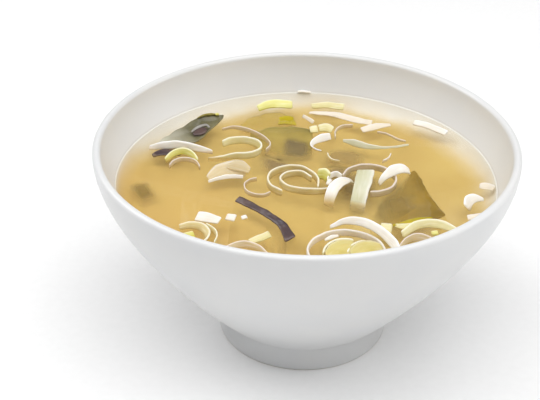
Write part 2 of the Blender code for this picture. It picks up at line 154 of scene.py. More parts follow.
# Leek, each piece as (name, finish, thickness, widths, lean, route). A lean of 0 stands the strip on
# edge, 90 lays it flat with its upper edge to the left.
LEEK = [
    ("leek_arc_left_white", "leek_white", LEEK_THICKNESS, (2.4, 3.2, 3.4, 3.0, 1.8), 12,
     [(-62.0, 19.9, -0.2), (-57.4, 18.9, 1.4), (-50.6, 18.8, 2.2), (-43.2, 18.3, 1.2),
      (-36.8, 18.8, -1.0)]),
    ("leek_hoop_left_lime", "leek_lime", LEEK_THICKNESS, (2.4, 2.8, 2.4), 20,
     [(-54.8, 11.2, -0.9), (-52.2, 13.6, 0.9), (-48.0, 14.6, 1.7), (-44.4, 13.4, 0.9), (-42.2, 10.8, -0.9)]),
    ("leek_loop_left_thin", "leek_blush", LEEK_FILM, (2.2,), 0,
     arc((-46.7, 3.0), 6.1, 168, -158, (0.1, 0.5, 0.1), 1.2)),
    ("leek_curl_left_cream", "leek_butter", LEEK_THICKNESS, (3.2, 3.4, 3.4, 2.4), 6,
     arc((-25.8, 19.8), 8.0, 158, -262, (1.1, 0.9, 0.6), 0.78) + [(-32.4, 14.0, -0.9), (-38.6, 15.0, -2.2)]),
    ("leek_ring_left_thin", "leek_blush", LEEK_FILM, (1.2, 1.8, 2.2, 3.2), 0,
     [(-34.6, 37.2, -0.5), (-29.8, 37.2, 0.6), (-24.6, 35.2, 0.9), (-19.6, 31.4, 0.8), (-15.6, 26.7, 0.6),
      (-14.2, 22.6, 0.4), (-16.0, 18.6, -0.2)]),
    ("leek_petal_left", "leek_sheer", LEEK_FILM, (3.0, 7.0, 7.6, 5.6), 62,
     [(-36.9, -3.6, 0.0), (-32.2, 0.7, 1.0), (-27.2, 2.2, 1.4), (-22.8, 1.7, 0.4)]),
    ("leek_ring_small_thin", "leek_blush", LEEK_FILM, (1.8,), 0,
     arc((-17.2, -8.7), 5.8, 102, 216, (-0.3, 0.1, 0.0), 1.12)),
    ("leek_ring_middle_outer", "leek_cream", LEEK_THICKNESS, (3.2,), 0,
     arc((-4.6, -5.1), 9.7, 246, -262, (0.6, 1.0, 0.9, -0.9))),
    ("leek_ring_middle_inner", "leek_cream", LEEK_THICKNESS, (2.8, 3.0, 3.0, 2.8), 0,
     [(2.4, -3.1, 0.6), (-2.2, 0.6, 0.9), (-7.6, -0.8, 0.9), (-9.6, -5.5, 0.9), (-6.4, -10.5, 0.9),
      (-1.0, -12.4, 0.9), (6.4, -11.9, 0.8), (12.6, -8.9, 0.5), (15.8, -2.9, -0.6)]),
    ("leek_ribbon_middle_white", "leek_ribbon", LEEK_THICKNESS, (1.6, 3.4, 4.4, 4.6, 4.4), -62,
     [(18.0, -5.2, 0.8), (15.9, -7.3, 3.2), (13.0, -10.9, 4.4), (10.4, -14.8, 3.6), (9.0, -17.3, 0.8),
      (8.8, -17.9, -2.6)]),
    ("leek_slide_middle_green", "leek_green", LEEK_THICKNESS, (7.0, 6.8, 6.2, 5.4), 84,
     [(22.6, -2.5, 5.0), (21.6, -9.3, 4.2), (20.1, -15.5, 1.5), (18.9, -20.7, -4.6)]),
    ("leek_ring_right", "leek_blush", LEEK_THICKNESS, (2.8,), 0,
     arc((24.0, -3.2), 10.1, 172, -262, (0.9,), 1.02)),
    ("leek_ribbon_right_white", "leek_ribbon", LEEK_THICKNESS, (1.8, 3.0, 4.2, 4.2, 2.4), 46,
     [(27.6, -5.6, 0.4), (29.4, -3.7, 2.7), (32.4, -1.4, 4.0), (35.6, 0.6, 4.2), (38.0, 1.9, 3.2),
      (39.6, 2.6, 1.7)]),
    ("leek_curl_far_white", "leek_white", LEEK_FILM, (2.8, 3.4, 2.6, 1.6, 1.2), -40,
     [(9.7, 30.7, 1.1), (6.1, 28.8, 1.3), (3.0, 26.0, 1.0), (2.0, 23.1, 0.5), (3.8, 21.1, 0.2),
      (6.2, 20.8, -0.2)]),
    ("leek_arc_far_thin", "leek_blush", LEEK_FILM, (1.8,), 0,
     arc((19.4, 32.9), 8.2, 196, -102, (0.5, 0.7, 0.1), 1.1)),
    ("leek_strand_far_lime", "leek_green", LEEK_FILM, (1.2, 3.0, 2.4, 1.0, 0.9, 0.9), 24,
     [(14.5, 29.0, 0.2), (18.1, 27.2, 0.5), (21.6, 25.2, 0.5), (25.2, 24.0, 0.3), (29.1, 24.0, 0.1),
      (34.7, 25.0, 0.0), (40.6, 27.2, 0.0)]),
    ("leek_patch_far_pale", "leek_veil", LEEK_FILM, (3.0, 3.6, 1.4), 68,
     [(22.0, 38.2, 0.1), (26.0, 40.2, 0.4), (29.8, 42.0, 0.4), (34.3, 43.4, 0.1)]),
    ("leek_strand_far_thin", "leek_blush", LEEK_FILM, (1.0,), 10,
     [(28.4, 37.0, 0.0), (32.0, 35.2, 0.3), (35.8, 31.7, 0.2), (39.7, 29.6, 0.1)]),
    ("leek_strip_far_white", "leek_veil", LEEK_FILM, (1.2, 2.2, 3.2, 3.2, 2.8), 68,
     [(0.7, 52.6, 0.1), (5.3, 51.8, 0.4), (10.7, 50.8, 0.6), (15.6, 48.5, 0.6), (20.5, 46.1, 0.5),
      (26.6, 44.6, 0.2)]),
    ("leek_strip_far_lime", "leek_butter", LEEK_THICKNESS, (3.0, 4.0, 4.2), 78,
     [(1.6, 58.9, 0.1), (8.0, 59.5, 0.3), (15.4, 58.1, 0.3)]),
    ("leek_strip_on_wakame", "leek_lime", LEEK_THICKNESS, (3.2, 4.6, 4.0), 64,
     [(-20.9, 54.5, 0.6), (-14.6, 57.4, 1.5), (-6.2, 57.7, 1.0)]),
    ("leek_strip_back_right", "leek_white", LEEK_THICKNESS, (2.6, 3.0, 3.0), 66,
     [(43.6, 46.1, 0.3), (50.0, 41.9, 0.7), (56.4, 36.5, 0.4)]),
    ("leek_cap_right", "leek_white", LEEK_THICKNESS, (4.0, 4.8, 3.8, 1.2), 44,
     [(59.4, -19.6, -0.4), (60.3, -16.8, 0.9), (62.6, -15.3, 1.4), (66.0, -15.1, 0.8)]),
    ("leek_strip_right_rim", "leek_veil", LEEK_FILM, (2.4,), 62,
     [(58.8, -27.0, 0.0), (61.8, -26.4, 0.3), (65.4, -25.5, 0.3)]),
    ("leek_ring_front_outer", "leek_veil", LEEK_THICKNESS, (2.8,), 0,
     arc((14.7, -53.9), 13.4, 216, -322, (0.8, 1.0, 0.9, 0.6), 1.0)),
    ("leek_ribbon_front_white", "leek_white", LEEK_THICKNESS, (1.4, 3.0, 3.4, 3.4, 3.2), 38,
     [(9.0, -39.5, 2.4), (14.6, -38.1, 4.4), (20.6, -40.1, 5.2), (26.4, -45.1, 5.1), (31.0, -51.7, 3.9),
      (33.4, -58.1, 1.0)]),
    ("leek_nest_front_outer", "leek_butter", LEEK_THICKNESS, (3.0,), 0,
     arc((15.2, -54.6), 8.6, 178, -103, (0.0, 0.3, 0.0), 1.12)),
    ("leek_nest_front_inner", "leek_butter", LEEK_THICKNESS, (3.0,), 0,
     arc((21.0, -54.6), 6.0, 172, -135, (0.0, 0.2, 0.0), 1.4)),
    ("leek_arch_front_lime", "leek_butter", LEEK_THICKNESS, (2.8, 3.4, 3.4, 2.6), 34,
     [(34.6, -39.9, 0.2), (39.2, -35.5, 1.2), (44.6, -34.1, 1.7), (50.2, -34.5, 1.2), (55.0, -37.1, -0.2)]),
    ("leek_arch_front_tan", "leek_blush", LEEK_FILM, (2.4, 3.0, 2.4), 30,
     [(33.4, -48.1, -0.4), (36.2, -43.9, 0.6), (40.4, -42.2, 1.1), (44.4, -43.5, 0.4), (46.6, -47.1, -0.6)]),
    ("leek_tile_front_left", "leek_white", LEEK_THICKNESS, (5.0, 4.6, 3.8), 76,
     [(-39.2, -30.7, 0.3), (-34.8, -32.1, 0.4), (-30.4, -33.9, 0.3)]),
    ("leek_curl_front_left", "leek_cream", LEEK_THICKNESS, (2.4, 3.0, 3.2, 2.8), 34,
     arc((-40.6, -43.9), 6.6, 128, -168, (0.2, 0.6, 0.2), 1.0)),
    ("leek_curl_front_left_outer", "leek_butter", LEEK_FILM, (2.4,), 8,
     arc((-41.2, -45.1), 10.4, 56, -76, (-0.2, 0.3, -0.2), 1.0)),
    ("leek_strip_front", "leek_butter", LEEK_THICKNESS, (2.6, 3.0, 2.8), 66,
     [(-19.2, -47.1, 0.1), (-15.8, -45.1, 0.5), (-12.0, -41.9, 0.5)]),
    ("leek_arc_front_tan", "leek_blush", LEEK_FILM, (2.2, 2.8, 2.2), 30,
     arc((-20.6, -58.1), 8.8, 158, -132, (-0.4, 0.6, -0.4), 1.02)),
]

# Wakame leaves, each as (name, finish, sag, bulge, low edge, high edge).
WAKAME = [
    ("wakame_leaf_left", "wakame_green", 1.2, 0.0,
     [(-58.8, 20.7, -0.6), (-50.4, 22.8, -0.4), (-43.8, 25.2, 0.1), (-39.4, 33.2, 0.6), (-34.4, 42.6, 1.4)],
     [(-60.6, 21.6, -0.1), (-56.4, 26.4, 1.3), (-49.6, 34.0, 2.4), (-42.6, 41.6, 3.4), (-34.0, 43.8, 2.4)]),
    ("wakame_leaf_far", "wakame_pale", 0.5, 0.0,
     [(-29.0, 42.1, -2.4), (-22.4, 39.3, -2.6), (-13.0, 40.2, -2.6), (-8.0, 41.4, -2.4),
      (-3.4, 43.2, -2.0)],
     [(-28.3, 44.8, -1.6), (-24.1, 51.4, -1.2), (-18.6, 55.6, -1.1), (-12.0, 56.8, -1.0),
      (-5.4, 54.8, -1.0)]),
    ("wakame_leaf_back", "wakame_folded", 0.6, 0.0,
     [(-22.0, 29.0, -2.8), (-15.0, 21.0, -3.2), (-7.1, 18.6, -3.4), (-1.4, 18.4, -3.2), (2.4, 20.4, -2.8)],
     [(-23.0, 36.4, -1.1), (-15.6, 39.5, 0.1), (-9.4, 40.9, 0.2), (-3.4, 40.7, 0.2), (2.4, 38.6, 0.0)]),
    ("wakame_leaf_right", "wakame_olive", 0.4, 3.4,
     [(39.9, 7.4, -0.8), (33.2, -2.8, -2.4), (28.6, -12.0, -3.0), (25.4, -21.0, -2.8), (23.4, -28.8, -2.2)],
     [(42.1, 8.5, -0.2), (44.8, -2.6, 0.1), (46.4, -10.4, 0.1), (48.8, -17.6, 0.1), (51.6, -25.3, 0.2)]),
]
WAKAME_STRIP = ("wakame_strip_front", "wakame_dark", WAKAME_THICKNESS, (3.0, 2.7, 2.8, 4.4), 66,
                [(-25.2, -18.3, 0.4), (-20.6, -22.1, 0.5), (-14.2, -28.1, 0.5), (-8.2, -35.4, 0.5),
                 (-4.8, -45.1, 0.4)])

# Smaller cuttings of leek, and shreds of wakame, which are no nodes of the part.
CUTTINGS = [
    ("leek_chip_lime", "leek_lime", 1.2, (4.0, 4.8, 4.0), 24,
     [(4.4, 0.8, 0.9), (7.0, -0.4, 1.6), (8.8, -3.0, 1.3)]),
    ("leek_curl_small_white", "leek_white", LEEK_FILM, (2.0, 2.4, 2.4), 16,
     [(8.4, -4.4, 0.9), (9.4, -1.4, 1.4), (11.8, -0.2, 1.7), (13.6, -2.2, 1.2)]),
    ("leek_nub_white", "leek_white", 1.4, (2.4, 3.0), 50,
     [(7.8, -5.4, 0.9), (9.8, -6.0, 0.9)]),
    ("leek_shred_far", "leek_veil", LEEK_FILM, (1.6,), 30,
     [(-1.9, 49.3, 0.2), (0.2, 46.8, 0.4), (2.8, 43.5, 0.3)]),
    ("leek_bit_far_left", "leek_butter", LEEK_THICKNESS, (3.0, 3.8), 58,
     [(1.2, 36.8, 0.3), (4.4, 37.7, 0.5)]),
    ("leek_bit_far_right", "leek_butter", LEEK_THICKNESS, (3.4, 4.0, 3.2), 56,
     [(4.6, 38.2, 0.5), (7.8, 38.8, 0.8), (10.6, 37.0, 0.4)]),
    ("leek_arc_sunk_middle", "leek_cream", LEEK_FILM, (1.4,), 10,
     [(8.3, 19.6, -0.8), (8.7, 16.4, -0.6), (10.8, 13.6, -0.5), (13.0, 13.4, -0.9)]),
    ("leek_arc_sunk_right", "leek_veil", LEEK_FILM, (1.8,), 10,
     [(33.0, 19.0, -0.1), (32.2, 15.6, 0.0), (29.7, 13.4, -0.3)]),
    ("leek_patch_right_rim", "leek_veil", LEEK_FILM, (3.0, 4.4, 3.0), 80,
     [(65.6, -4.0, 0.0), (68.4, -4.4, 0.2), (71.0, -5.2, 0.1)]),
    ("leek_square_front", "leek_butter", 1.2, (5.2, 5.4), 80,
     [(26.8, -36.8, 0.9), (31.2, -37.4, 0.9)]),
    ("leek_bit_front_lime", "leek_butter", LEEK_FILM, (1.4, 2.6, 2.2, 0.8), 62,
     [(32.2, -33.4, 0.2), (34.6, -34.8, 0.5), (37.4, -34.4, 0.5), (41.4, -32.0, 0.2)]),
    ("leek_bit_front_yellow", "leek_lime", LEEK_THICKNESS, (1.8, 2.0), 60,
     [(45.0, -38.8, 0.5), (47.6, -38.2, 0.5)]),
    ("leek_sliver_front", "leek_white", LEEK_FILM, (0.8, 1.6, 0.8), 50,
     [(7.2, -45.4, 0.6), (9.6, -43.8, 0.8), (12.2, -42.4, 0.8)]),
    ("leek_square_left", "leek_white", LEEK_THICKNESS, (3.2, 3.4), 72,
     [(-28.4, -31.2, 0.5), (-24.8, -32.2, 0.5)]),
    ("leek_chip_left", "leek_white", LEEK_THICKNESS, (1.6, 1.8), 60,
     [(-22.8, -32.0, 0.5), (-20.8, -30.7, 0.5)]),
    ("leek_core_front_left", "leek_lime", LEEK_FILM, (3.0, 3.6), 78,
     [(-43.0, -44.0, 0.0), (-38.8, -42.8, 0.2)]),
    ("leek_petal_left_fold", "leek_white", LEEK_FILM, (1.2, 1.8, 1.4), 20,
     [(-36.7, -5.9, 0.2), (-32.4, -3.5, 0.5), (-28.6, -2.4, 0.6), (-23.6, -2.0, 0.3)]),
    ("leek_bit_far_wall", "leek_white", LEEK_FILM, (1.0, 1.4, 1.0), 70,
     [(-4.4, 71.2, 0.5), (-1.6, 71.6, 0.5), (1.2, 71.2, 0.5)]),
    ("wakame_tail_left", "wakame_dark", WAKAME_THICKNESS, (2.0, 3.8, 3.8, 2.0), 82,
     [(-60.2, 14.4, -0.7), (-57.4, 15.6, 0.0), (-53.8, 16.4, 0.0), (-49.4, 16.8, -0.9)]),
    ("wakame_edge_right", "wakame_lit", WAKAME_THICKNESS, (0.6, 2.8, 3.8, 2.8, 1.2), 80,
     [(46.2, -28.2, 0.2), (42.2, -29.4, 0.4), (38.2, -31.2, 0.4), (34.6, -33.0, 0.3), (31.4, -33.6, 0.0)]),
    ("wakame_edge_left", "wakame_folded", WAKAME_THICKNESS, (0.6, 1.4, 1.6, 0.8), 70,
     [(-44.6, 39.0, 3.4), (-41.6, 40.9, 3.8), (-38.4, 42.3, 3.5), (-36.4, 42.8, 3.0)]),
    ("leek_crumb_left", "leek_lime", LEEK_THICKNESS, (1.0, 1.4), 60,
     [(-37.6, 42.2, 3.8), (-36.0, 42.8, 3.6)]),
    ("wakame_fold_left", "wakame_dark", WAKAME_THICKNESS, (1.2, 3.4, 3.8, 1.6), 74,
     [(-45.4, 28.6, 1.3), (-43.6, 30.2, 1.5), (-41.8, 31.8, 1.7), (-40.4, 33.4, 1.8)]),
    ("wakame_fold_rim_left", "wakame_thin", WAKAME_THICKNESS, (0.8, 1.2, 1.2, 0.8), 60,
     [(-46.2, 29.8, 1.9), (-44.6, 32.2, 2.3), (-42.4, 34.0, 2.6), (-40.4, 34.9, 2.6), (-39.2, 33.4, 2.2)]),
]

# Limp scraps of wakame under the level, one of them also painted shade under the rings, a dark sunk
# patch on the left, and broad cuts of leek, as (name, finish, sag, bulge, low edge, high edge).
SHEETS = [
    ("wakame_scrap_middle", "wakame_plum", 0.3, 0.0,
     [(-21.0, 4.4, -2.0), (-13.0, 3.4, -1.2), (-4.0, 3.4, -1.2), (4.0, 5.4, -2.0)],
     [(-21.6, 24.4, -1.6), (-15.6, 18.6, -0.7), (-6.0, 13.0, -0.8), (4.0, 12.4, -1.8)]),
    ("wakame_scrap_slate", "wakame_slate", 0.3, 0.0,
     [(-11.6, 15.6, -1.4), (-6.6, 14.8, -0.8), (-1.8, 15.0, -0.8), (2.8, 16.4, -1.4)],
     [(-10.8, 34.0, -0.9), (-6.4, 34.6, -0.3), (-1.4, 32.4, -0.3), (3.0, 29.4, -0.8)]),
    ("wakame_scrap_centre", "wakame_plum", 0.2, 0.0,
     [(6.6, 0.6, -2.0), (12.0, -0.2, -1.4), (17.0, 1.0, -1.8)],
     [(7.2, 11.2, -1.8), (12.2, 12.2, -1.2), (17.0, 11.0, -1.6)]),
    ("wakame_scrap_middle_right", "wakame_plum", 0.2, 0.0,
     [(5.0, 12.6, -3.0), (11.0, 12.8, -2.4), (19.0, 12.6, -2.4), (26.0, 13.0, -3.0)],
     [(4.6, 28.0, -3.0), (11.0, 29.0, -2.4), (19.0, 28.0, -2.4), (25.0, 26.0, -3.0)]),
    # Painted shade: this sunk scrap of wakame is also set dark under the rings, where their shade falls on
    # the broth.
    ("wakame_scrap_right_ring", "wakame_plum", 0.2, 0.0,
     [(10.0, -11.0, -3.0), (16.0, -12.6, -1.8), (21.0, -12.0, -1.4), (26.0, -9.0, -2.4)],
     [(9.0, 10.0, -2.4), (16.0, 11.4, -1.6), (24.0, 9.0, -1.2), (31.0, 7.0, -2.2)]),
    ("wakame_scrap_right", "wakame_murky", 0.2, 0.0,
     [(25.4, -10.0, -1.8), (26.4, -18.0, -1.2), (28.0, -26.0, -1.4), (32.0, -33.0, -2.2)],
     [(37.4, -0.6, -1.8), (41.4, -8.0, -1.0), (44.0, -16.0, -0.9), (46.0, -24.0, -1.4)]),
    # A dark patch sunk under the level on the left, with the murky wakame's finish.
    ("wakame_scrap_left", "wakame_murky", 0.2, 0.0,
     [(-68.4, -3.0, -2.6), (-67.4, -9.0, -1.2), (-64.6, -15.6, -1.0), (-60.4, -21.4, -2.0)],
     [(-60.0, 0.6, -2.6), (-57.4, -5.4, -1.2), (-55.0, -11.4, -1.0), (-52.4, -17.0, -2.0)]),
    ("wakame_scrap_far", "wakame_lit", 0.1, 0.0,
     [(-11.6, 42.6, 0.0), (-8.8, 42.8, 0.2), (-4.0, 42.6, 0.0)],
     [(-11.8, 48.2, 0.4), (-8.8, 49.6, 0.6), (-5.6, 48.8, 0.4)]),
    ("leek_heart_front_left", "leek_amber", -0.9, 0.0,
     [(8.2, -58.0, 0.0), (12.0, -56.0, 0.2), (17.0, -53.0, 0.2), (20.0, -50.0, 0.0)],
     [(7.2, -53.6, 0.9), (8.8, -49.2, 1.3), (12.4, -46.2, 1.4), (17.0, -45.4, 1.0)]),
    ("leek_heart_front_right", "leek_amber", -0.9, 0.0,
     [(16.4, -58.2, 0.0), (21.0, -57.0, 0.2), (26.0, -55.4, 0.2), (29.4, -52.8, 0.0)],
     [(15.8, -52.6, 0.9), (18.2, -47.6, 1.3), (22.6, -46.2, 1.4), (27.6, -48.4, 0.9)]),
    ("leek_petal_left_lobe", "leek_sheer", -0.8, 0.0,
     [(-30.4, 2.0, 1.4), (-27.6, 0.6, 1.6), (-24.6, -0.2, 1.4), (-21.8, -0.4, 1.0)],
     [(-31.2, 5.0, 1.9), (-27.6, 7.4, 2.3), (-23.8, 6.6, 2.1), (-21.0, 3.0, 1.4)]),
]

# Mix Color's sockets, which share their names between its kinds of value.
MIX_SHARE, MIX_FIRST, MIX_SECOND, MIX_RESULT = 0, 6, 7, 2


def linear(colour):
    """An sRGB hex colour as Blender's linear one."""
    channels = [int(colour[i:i + 2], 16) / 255 for i in (0, 2, 4)]
    return (*(c / 12.92 if c <= 0.04045 else ((c + 0.055) / 1.055) ** 2.4 for c in channels), 1.0)


def add(tree, kind, inputs=None, stops=(), **settings):
    """A new shader node with its settings, and for each input a value or another node's output."""
    node = tree.nodes.new(f"ShaderNode{kind}")
    for name, value in settings.items():
        setattr(node, name, value)
    for name, value in (inputs or {}).items():
        if isinstance(value, bpy.types.NodeSocket):
            tree.links.new(value, node.inputs[name])
        else:
            node.inputs[name].default_value = value
    for i, (place, colour) in enumerate(stops):
        stop = node.color_ramp.elements[i] if i < 2 else node.color_ramp.elements.new(place)
        stop.position = place
        stop.color = linear(colour)
    return node


def blotches(size):
    """The scale of a noise whose blotches are about this many millimetres across."""
    return 1 / (size * MM)


def new_material(name):
    """A node material with only its Material Output, and that output."""
    made = bpy.data.materials.new(name)
    made.use_nodes = True
    made.node_tree.nodes.clear()
    return made, made.node_tree, made.node_tree.nodes.new("ShaderNodeOutputMaterial")


def murk(tree, clear_depth):
    """How much the broth hides, from 0 at its level to 1 far below it."""
    place = add(tree, "TexCoord").outputs["Object"]
    height = add(tree, "SeparateXYZ", {"Vector": place}).outputs["Z"]
    over = add(tree, "Math", {0: height, 1: SOUP_LEVEL * MM}, operation="SUBTRACT")
    depth = add(tree, "Math", {0: over.outputs[0], 1: 0.0}, operation="MINIMUM")
    spent = add(tree, "Math", {0: depth.outputs[0], 1: clear_depth * MM}, operation="DIVIDE")
    seen = add(tree, "Math", {0: spent.outputs[0]}, operation="EXPONENT")
    return add(tree, "Math", {0: 1.0, 1: seen.outputs[0]}, operation="SUBTRACT").outputs[0]


def broth_colour_and_painted_light(tree):
    """The cloudy broth's own colour with painted light in it: more amber towards the near left, where
    painted light lifts it out of the near wall's shade, and pale towards the wall, where it is shallow
    and painted light bounced off the white porcelain brightens it, first to pale yellow and then to
    milk white, but hardly on the near left."""
    place = add(tree, "TexCoord").outputs["Object"]
    clouds = add(tree, "TexNoise", {"Vector": place, "Scale": blotches(29.4), "Detail": 3.0,
                                    "Roughness": 0.5})
    tone = add(tree, "ValToRGB", {"Fac": clouds.outputs["Fac"]},
               stops=[(0.3, "C3A454"), (0.7, "D0B464")]).outputs["Color"]
    parts = add(tree, "SeparateXYZ", {"Vector": place})
    near_left = add(tree, "Math", {0: parts.outputs["X"], 1: parts.outputs["Y"]}, operation="ADD")
    # Painted light: the broth turns lighter and more amber towards the near left, lifting it out of the near
    # wall's shade.
    amber = add(tree, "MapRange", {"Value": near_left.outputs[0], "From Min": -20 * MM,
                                   "From Max": -80 * MM, "To Max": 0.8})
    toned_with_front_light = add(tree, "Mix", {MIX_SHARE: amber.outputs[0], MIX_FIRST: tone, MIX_SECOND: linear("CFAA58")},
               data_type="RGBA")
    flat = add(tree, "VectorMath", {0: place, 1: (1.0, 1.0, 0.0)}, operation="MULTIPLY")
    radius = add(tree, "VectorMath", {0: flat.outputs[0]}, operation="LENGTH")
    drift = add(tree, "TexNoise", {"Vector": place, "Scale": blotches(25.0), "Detail": 2.0})
    wander = add(tree, "MapRange", {"Value": drift.outputs["Fac"], "To Min": -SHORE_WANDER * MM,
                                    "To Max": SHORE_WANDER * MM})
    held = add(tree, "MapRange", {"Value": near_left.outputs[0], "From Min": -40 * MM,
                                  "From Max": -80 * MM, "To Max": -9 * MM})
    near = add(tree, "MapRange", {"Value": parts.outputs["Y"], "From Min": 45 * MM, "From Max": 5 * MM,
                                  "To Max": -3 * MM})
    kept = add(tree, "Math", {0: held.outputs[0], 1: near.outputs[0]}, operation="ADD")
    moved = add(tree, "Math", {0: wander.outputs[0], 1: kept.outputs[0]}, operation="ADD")
    out = add(tree, "Math", {0: radius.outputs["Value"], 1: moved.outputs[0]}, operation="ADD")
    # Painted light: the pale shore, first pale yellow and then milk white, holds light bounced off the
    # porcelain as well as the shallow broth's colour.
    shallow_and_bounce_light = add(tree, "MapRange", {"Value": out.outputs[0], "From Min": SHORE_START * MM,
                                   "From Max": SHORE_STRAW * MM}, interpolation_type="SMOOTHSTEP")
    straw_and_bounce_light = add(tree, "Mix", {MIX_SHARE: shallow_and_bounce_light.outputs[0], MIX_FIRST: toned_with_front_light.outputs[MIX_RESULT],
                              MIX_SECOND: linear(STRAW_BROTH_AND_BOUNCE_LIGHT)}, data_type="RGBA")
    milky_and_bounce_light = add(tree, "MapRange", {"Value": out.outputs[0], "From Min": MILKY_AND_BOUNCE_LIGHT_START * MM,
                                   "From Max": MILKY_AND_BOUNCE_LIGHT_END * MM}, interpolation_type="SMOOTHSTEP")
    colour = add(tree, "Mix", {MIX_SHARE: milky_and_bounce_light.outputs[0], MIX_FIRST: straw_and_bounce_light.outputs[MIX_RESULT],
                               MIX_SECOND: linear(SHALLOW_BROTH_AND_BOUNCE_LIGHT)}, data_type="RGBA")
    return colour.outputs[MIX_RESULT]


def make_porcelain():
    """Hard porcelain, cast and dipped in clear glaze: white, very slightly uneven in tone, with the
    glaze's soft gloss and faint ripple, and a bare biscuit ring where the foot was wiped clean."""
    made, tree, output = new_material("glazed_porcelain")
    place = add(tree, "TexCoord").outputs["Object"]
    height = add(tree, "SeparateXYZ", {"Vector": place}).outputs["Z"]
    mottle = add(tree, "TexNoise", {"Vector": place, "Scale": blotches(22.2), "Detail": 4.0})
    white = add(tree, "ValToRGB", {"Fac": mottle.outputs["Fac"]},
                stops=[(0.3, "DADBDC"), (0.7, "DEDEDD")]).outputs["Color"]
    bare = add(tree, "MapRange", {"Value": height, "From Min": 0.5 * MM, "From Max": 0.2 * MM})
    body = add(tree, "Mix", {MIX_SHARE: bare.outputs[0], MIX_FIRST: white, MIX_SECOND: linear("D9D2C4")},
               data_type="RGBA")
    rough = add(tree, "MapRange", {"Value": bare.outputs[0], "To Min": 0.34, "To Max": 0.7})
    ripple = add(tree, "TexNoise", {"Vector": place, "Scale": blotches(8.33), "Detail": 1.0})
    relief = add(tree, "Bump", {"Height": ripple.outputs["Fac"], "Strength": 0.25, "Distance": 0.06 * MM})
    shader = add(tree, "BsdfPrincipled", {"Base Color": body.outputs[MIX_RESULT],
                                          "Roughness": rough.outputs[0], "IOR": 1.5, "Coat Weight": 0.2,
                                          "Coat Roughness": 0.2, "Normal": relief.outputs["Normal"]})
    tree.links.new(shader.outputs["BSDF"], output.inputs["Surface"])
    return made


def make_broth_film():
    """The top of the broth: water clear but for a little miso, level, and glossy at a low angle."""
    made, tree, output = new_material("clear_broth_surface")
    place = add(tree, "TexCoord").outputs["Object"]
    swell = add(tree, "TexNoise", {"Vector": place, "Scale": blotches(16.7), "Detail": 1.0})
    relief = add(tree, "Bump", {"Height": swell.outputs["Fac"], "Strength": 0.3, "Distance": 0.15 * MM})
    facing = add(tree, "LayerWeight", {"Blend": 0.5}).outputs["Facing"]
    glancing = add(tree, "Math", {0: facing, 1: 5.0}, operation="POWER").outputs[0]
    mirrored = add(tree, "MapRange", {"Value": glancing, "To Min": 0.006, "To Max": 0.3})
    clear = add(tree, "BsdfTransparent")
    veil = add(tree, "BsdfDiffuse", {"Color": linear("DDBE82")})
    body = add(tree, "MixShader", {0: 0.06, 1: clear.outputs[0], 2: veil.outputs[0]})
    gloss = add(tree, "BsdfGlossy", {"Color": linear("FFFFFF"), "Roughness": 0.04,
                                     "Normal": relief.outputs["Normal"]})
    shader = add(tree, "MixShader", {0: mirrored.outputs[0], 1: body.outputs[0], 2: gloss.outputs[0]})
    tree.links.new(shader.outputs[0], output.inputs["Surface"])
    return made


def make_broth_depths():
    """Miso stirred into stock: a cloudy suspension that hides the porcelain within a few
    millimetres."""
    made, tree, output = new_material("cloudy_miso_broth")
    colour = add(tree, "Mix", {MIX_SHARE: murk(tree, WALL_MURK), MIX_FIRST: linear(SHALLOW_BROTH_AND_BOUNCE_LIGHT),
                               MIX_SECOND: broth_colour_and_painted_light(tree)}, data_type="RGBA")
    shader = add(tree, "BsdfPrincipled", {"Base Color": colour.outputs[MIX_RESULT], "Roughness": 0.9,
                                          "Specular IOR Level": 0.0})
    tree.links.new(shader.outputs["BSDF"], output.inputs["Surface"])
    return made


def melted(tree, fray, low_side):
    """How far a limp piece has melted away: not at all within this share of its reach, and wholly at
    its ragged outline, on all sides or only towards its low side."""
    sheet = add(tree, "UVMap", uv_map="Sheet").outputs["UV"]
    if low_side:
        across = add(tree, "SeparateXYZ", {"Vector": sheet}).outputs["Y"]
        off_middle = add(tree, "Math", {0: across, 1: -1.0}, operation="MULTIPLY")
    else:
        squared = add(tree, "VectorMath", {0: sheet, 1: sheet}, operation="MULTIPLY")
        length = add(tree, "VectorMath", {0: squared.outputs[0]}, operation="LENGTH")
        off_middle = add(tree, "Math", {0: length.outputs["Value"]}, operation="SQRT")
    place = add(tree, "TexCoord").outputs["Object"]
    torn = add(tree, "TexNoise", {"Vector": place, "Scale": blotches(5.56), "Detail": 2.0})
    ragged = add(tree, "MapRange", {"Value": torn.outputs["Fac"], "To Max": 0.3})
    reach = add(tree, "Math", {0: off_middle.outputs[0], 1: ragged.outputs[0]}, operation="ADD")
    return add(tree, "MapRange", {"Value": reach.outputs[0], "From Min": fray, "From Max": 1.0},
               interpolation_type="SMOOTHSTEP").outputs[0]


